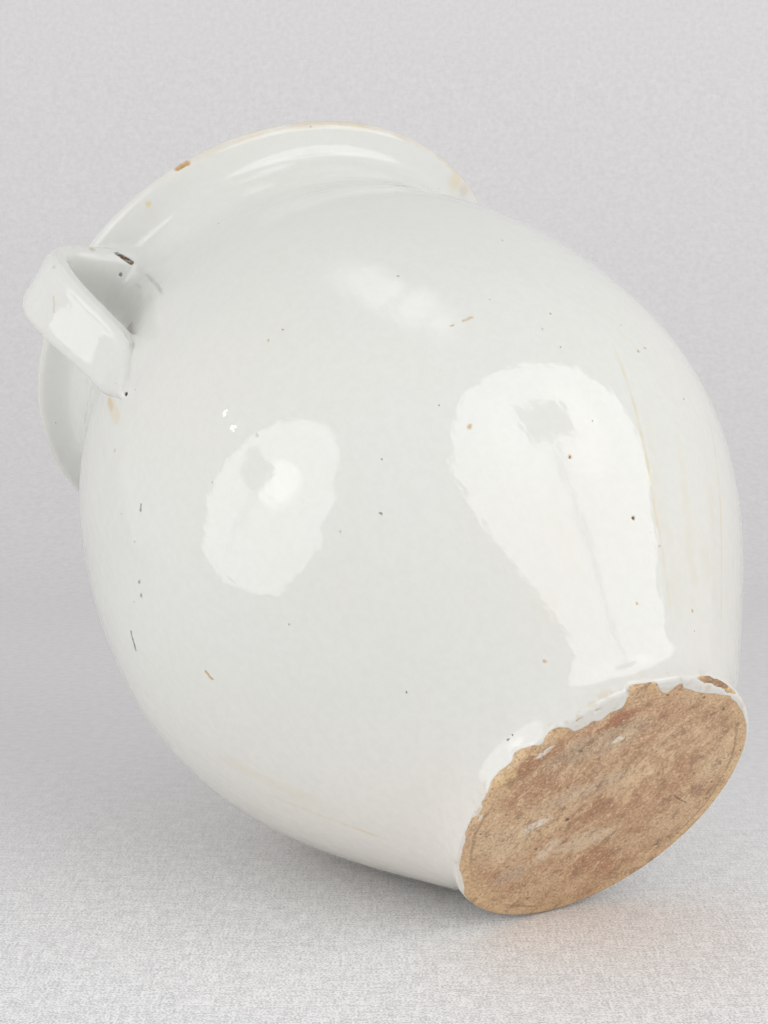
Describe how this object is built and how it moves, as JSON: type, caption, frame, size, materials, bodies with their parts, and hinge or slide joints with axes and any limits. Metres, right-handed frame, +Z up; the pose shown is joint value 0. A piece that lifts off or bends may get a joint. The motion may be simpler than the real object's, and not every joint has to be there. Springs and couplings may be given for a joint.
{
  "type": "confit pot",
  "caption": "Wheel-thrown earthenware confit pot, white tin glaze over a bare flat foot, full belly, narrow neck, flared rim and small strap handles from rim to shoulder.",
  "frame": {"origin": "centre of the flat bare base, on the plane the pot stands on", "axes": "+Z up along the thrown axis to the mouth; the handles lie on the X axis, handle_left on -X (the one the picture shows) and handle_right on +X"},
  "size_m": [0.2812, 0.2612, 0.2913],
  "materials": {
    "bare_clay": "bare fired earthenware, mottled brown and matt, bare only on the foot",
    "body_tin_glaze": "glossy opaque warm-white tin glaze with faint yellow runs and specks",
    "handle_clay": "bare fired earthenware under the glaze",
    "handle_tin_glaze": "glossy opaque warm-white tin glaze"
  },
  "bodies": {
    "root": {"clay_body": "bare_clay", "body_glaze": "body_tin_glaze", "handle_left": "handle_clay", "handle_right": "handle_clay", "handle_left_glaze": "handle_tin_glaze", "handle_right_glaze": "handle_tin_glaze"}
  },
  "joints": []
}
